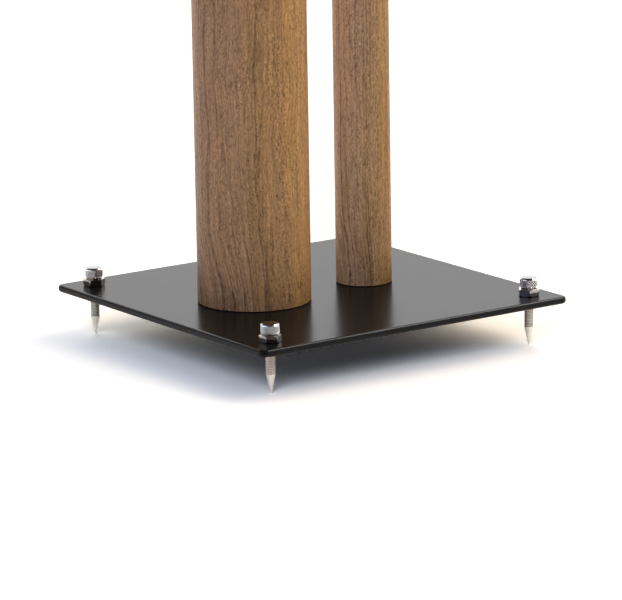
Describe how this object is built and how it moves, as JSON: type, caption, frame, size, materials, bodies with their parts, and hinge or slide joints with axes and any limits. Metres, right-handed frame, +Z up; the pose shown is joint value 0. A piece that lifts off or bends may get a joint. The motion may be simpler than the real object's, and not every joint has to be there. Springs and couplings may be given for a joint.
{
  "type": "speaker stand",
  "caption": "Loudspeaker stand with a flat steel base on adjustable spikes, a thick walnut column in front, a slim one behind it and a flat steel top plate.",
  "frame": {"origin": "on the floor under the centre of the base plate, with the spikes screwed fully down", "axes": "+Z up, -Y towards the front, where the thick column stands, +X to the right as seen from the front"},
  "size_m": [0.3, 0.3, 0.602],
  "materials": {
    "black_powder_coat": "satin black powder coat, fine texture",
    "walnut": "satin oiled walnut, grain along the column",
    "raw_steel": "plain drawn steel, hidden in the columns",
    "black_screw": "black oxide",
    "nickel": "bright nickel plate, turned",
    "chrome": "polished chrome plate",
    "bumper_rubber": "matt soft rubber"
  },
  "bodies": {
    "stand": {"base_plate": "black_powder_coat", "top_plate": "black_powder_coat", "main_column_sleeve": "walnut", "rear_column_sleeve": "walnut", "main_column_tube": "raw_steel", "rear_column_tube": "raw_steel", "main_lower_plug": "raw_steel", "main_upper_plug": "raw_steel", "rear_lower_plug": "raw_steel", "rear_upper_plug": "raw_steel", "main_base_screws": "black_screw", "main_top_screws": "black_screw", "rear_base_screws": "black_screw", "rear_top_screws": "black_screw", "bumper_front_left": "bumper_rubber", "bumper_front_right": "bumper_rubber", "bumper_rear_left": "bumper_rubber", "bumper_rear_right": "bumper_rubber"},
    "spike_front_left": {"spike_front_left": "nickel"},
    "knob_front_left": {"knob_front_left": "chrome"},
    "lock_nut_front_left": {"lock_nut_front_left": "chrome"},
    "spike_front_right": {"spike_front_right": "nickel"},
    "knob_front_right": {"knob_front_right": "chrome"},
    "lock_nut_front_right": {"lock_nut_front_right": "chrome"},
    "spike_rear_left": {"spike_rear_left": "nickel"},
    "knob_rear_left": {"knob_rear_left": "chrome"},
    "lock_nut_rear_left": {"lock_nut_rear_left": "chrome"},
    "spike_rear_right": {"spike_rear_right": "nickel"},
    "knob_rear_right": {"knob_rear_right": "chrome"},
    "lock_nut_rear_right": {"lock_nut_rear_right": "chrome"}
  },
  "joints": [
    {"name": "spike_front_left_travel", "type": "slide", "parent": "stand", "child": "spike_front_left", "axis": [0, 0, 1], "range_m": [0, 0.015]},
    {"name": "knob_front_left_turn", "type": "hinge", "parent": "spike_front_left", "child": "knob_front_left", "pos_m": [-0.127, -0.127, 0.0474], "axis": [0, 0, 1], "range_deg": [0, 4320]},
    {"name": "lock_nut_front_left_turn", "type": "hinge", "parent": "stand", "child": "lock_nut_front_left", "pos_m": [-0.127, -0.127, 0.041], "axis": [0, 0, 1], "range_deg": [0, 360]},
    {"name": "spike_front_right_travel", "type": "slide", "parent": "stand", "child": "spike_front_right", "axis": [0, 0, 1], "range_m": [0, 0.015]},
    {"name": "knob_front_right_turn", "type": "hinge", "parent": "spike_front_right", "child": "knob_front_right", "pos_m": [0.127, -0.127, 0.0474], "axis": [0, 0, 1], "range_deg": [0, 4320]},
    {"name": "lock_nut_front_right_turn", "type": "hinge", "parent": "stand", "child": "lock_nut_front_right", "pos_m": [0.127, -0.127, 0.041], "axis": [0, 0, 1], "range_deg": [0, 360]},
    {"name": "spike_rear_left_travel", "type": "slide", "parent": "stand", "child": "spike_rear_left", "axis": [0, 0, 1], "range_m": [0, 0.015]},
    {"name": "knob_rear_left_turn", "type": "hinge", "parent": "spike_rear_left", "child": "knob_rear_left", "pos_m": [-0.127, 0.127, 0.0474], "axis": [0, 0, 1], "range_deg": [0, 4320]},
    {"name": "lock_nut_rear_left_turn", "type": "hinge", "parent": "stand", "child": "lock_nut_rear_left", "pos_m": [-0.127, 0.127, 0.041], "axis": [0, 0, 1], "range_deg": [0, 360]},
    {"name": "spike_rear_right_travel", "type": "slide", "parent": "stand", "child": "spike_rear_right", "axis": [0, 0, 1], "range_m": [0, 0.015]},
    {"name": "knob_rear_right_turn", "type": "hinge", "parent": "spike_rear_right", "child": "knob_rear_right", "pos_m": [0.127, 0.127, 0.0474], "axis": [0, 0, 1], "range_deg": [0, 4320]},
    {"name": "lock_nut_rear_right_turn", "type": "hinge", "parent": "stand", "child": "lock_nut_rear_right", "pos_m": [0.127, 0.127, 0.041], "axis": [0, 0, 1], "range_deg": [0, 360]}
  ],
  "couplings": [
    {"joint": "knob_front_left_turn", "follows": "spike_front_left_travel", "rad_per_m": 5026.5},
    {"joint": "knob_front_right_turn", "follows": "spike_front_right_travel", "rad_per_m": 5026.5},
    {"joint": "knob_rear_left_turn", "follows": "spike_rear_left_travel", "rad_per_m": 5026.5},
    {"joint": "knob_rear_right_turn", "follows": "spike_rear_right_travel", "rad_per_m": 5026.5}
  ]
}
